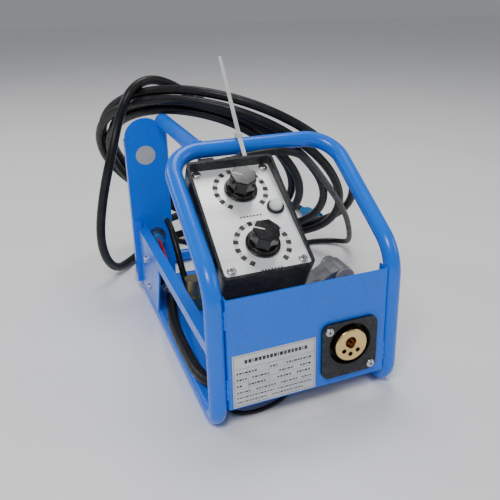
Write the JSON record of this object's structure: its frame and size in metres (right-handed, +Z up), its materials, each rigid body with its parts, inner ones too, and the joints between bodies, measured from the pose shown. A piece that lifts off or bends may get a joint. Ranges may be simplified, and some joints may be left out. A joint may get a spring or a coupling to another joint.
{
  "type": "welding wire feeder",
  "caption": "Portable welding wire feeder: tube carrier, tilted control box, central torch socket, two-roll wire drive, open spool bay and its coiled lead.",
  "frame": {"origin": "on the floor below the middle of the carrier's bounding box, leads left out", "axes": "+X to the operator's right, +Y from the front panel to the rear, +Z up"},
  "size_m": [0.4311, 0.65, 0.3638],
  "materials": {
    "blue_powder_coat": "gloss",
    "black_bracket": "satin",
    "zinc_screws": "satin",
    "nameplate": "satin",
    "knob_plastic": "gloss",
    "bezel": "satin",
    "box_plastic": "satin",
    "face_silver": "satin",
    "pot_steel": "satin",
    "circuit_board": "satin",
    "brass": "polished",
    "cast_grey": "as cast",
    "motor_black": "satin",
    "steel": "turned",
    "grey_cap": "gloss",
    "hub_plastic": "satin",
    "gas_valve": "passivated",
    "control_socket": "satin",
    "hose_black": "satin",
    "tinned_copper": "tinned",
    "red_wire": "gloss",
    "plug_blue": "satin",
    "nylon": "translucent"
  },
  "bodies": {
    "frame": {"hoop_tube": "blue_powder_coat", "skid_tube": "blue_powder_coat", "spine_tube": "blue_powder_coat", "side_rail": "blue_powder_coat", "side_gusset": "blue_powder_coat", "base_plate": "blue_powder_coat", "front_panel": "blue_powder_coat", "rear_plate": "blue_powder_coat", "box_bracket": "black_bracket", "spool_bracket": "black_bracket", "pan_screws": "zinc_screws", "nameplate": "nameplate", "jog_switch": "bezel", "box_housing": "box_plastic", "box_gland": "box_plastic", "socket_flange": "box_plastic", "socket_cap": "box_plastic", "face_plate": "face_silver", "pot_lower": "pot_steel", "pot_upper": "pot_steel", "box_circuit_board": "circuit_board", "socket_body": "brass", "socket_nut": "brass", "gas_nipple": "brass", "feed_block": "cast_grey", "gearbox": "cast_grey", "motor": "motor_black", "shaft_bearing": "steel", "wire_guides": "steel", "arm_hinge_pin": "grey_cap", "hub_nut": "hub_plastic", "cable_gland": "hub_plastic", "gas_valve": "gas_valve", "control_socket": "control_socket", "gas_hose": "hose_black", "power_cable": "hose_black", "inner_main_cable": "hose_black", "base_grommets": "hose_black", "lead_coil": "hose_black", "main_lead_exit": "hose_black", "main_lead_loop": "hose_black", "main_lead_tail": "hose_black", "remote_lead_tube": "hose_black", "torch_lead_tube": "hose_black", "cable_lugs": "tinned_copper", "motor_wires": "red_wire", "lead_plug": "plug_blue", "cable_tie": "nylon"},
    "lower_knob": {"knob_lower": "knob_plastic"},
    "upper_knob": {"knob_upper": "knob_plastic"},
    "jog_button": {"jog_button": "knob_plastic"},
    "drive_roll": {"drive_roll": "steel", "drive_shaft": "steel", "drive_roll_nut": "steel"},
    "pressure_arm": {"pressure_arm": "cast_grey", "pressure_roll_axle": "steel", "adjusting_spring": "steel"},
    "pressure_roll": {"pressure_roll": "steel"},
    "adjuster": {"adjusting_knob": "grey_cap"},
    "spool_hub": {"spool_hub": "hub_plastic"}
  },
  "joints": [
    {"name": "lower_knob_turn", "type": "hinge", "parent": "frame", "child": "lower_knob", "pos_m": [-0.03245, -0.1802, 0.18875], "axis": [0, -0.5188, 0.8549], "range_deg": [-204, 76]},
    {"name": "upper_knob_turn", "type": "hinge", "parent": "frame", "child": "upper_knob", "pos_m": [-0.03245, -0.11609, 0.22766], "axis": [0, -0.5188, 0.8549], "range_deg": [-204, 76]},
    {"name": "jog_press", "type": "slide", "parent": "frame", "child": "jog_button", "axis": [0, 0.5188, -0.8549], "range_m": [0, 0.003], "stiffness_N_per_m": 500, "springref_m": -0.002},
    {"name": "drive_roll_spin", "type": "hinge", "parent": "frame", "child": "drive_roll", "pos_m": [0.04865, -0.147, 0.0578], "axis": [1, 0, 0], "continuous": true},
    {"name": "pressure_arm_hinge", "type": "hinge", "parent": "frame", "child": "pressure_arm", "pos_m": [0.07455, -0.147, 0.121], "axis": [0, 1, 0], "range_deg": [0, 75]},
    {"name": "pressure_roll_spin", "type": "hinge", "parent": "pressure_arm", "child": "pressure_roll", "pos_m": [0.04865, -0.147, 0.0909], "axis": [1, 0, 0], "continuous": true},
    {"name": "adjuster_turn", "type": "hinge", "parent": "pressure_arm", "child": "adjuster", "pos_m": [0.02635, -0.147, 0.12], "axis": [0, 0, 1], "range_deg": [-180, 180]},
    {"name": "spool_hub_spin", "type": "hinge", "parent": "frame", "child": "spool_hub", "pos_m": [-0.02095, 0.033, 0.125], "axis": [1, 0, 0], "continuous": true}
  ],
  "couplings": [
    {"joint": "pressure_roll_spin", "follows": "drive_roll_spin", "ratio": -1.1667}
  ]
}
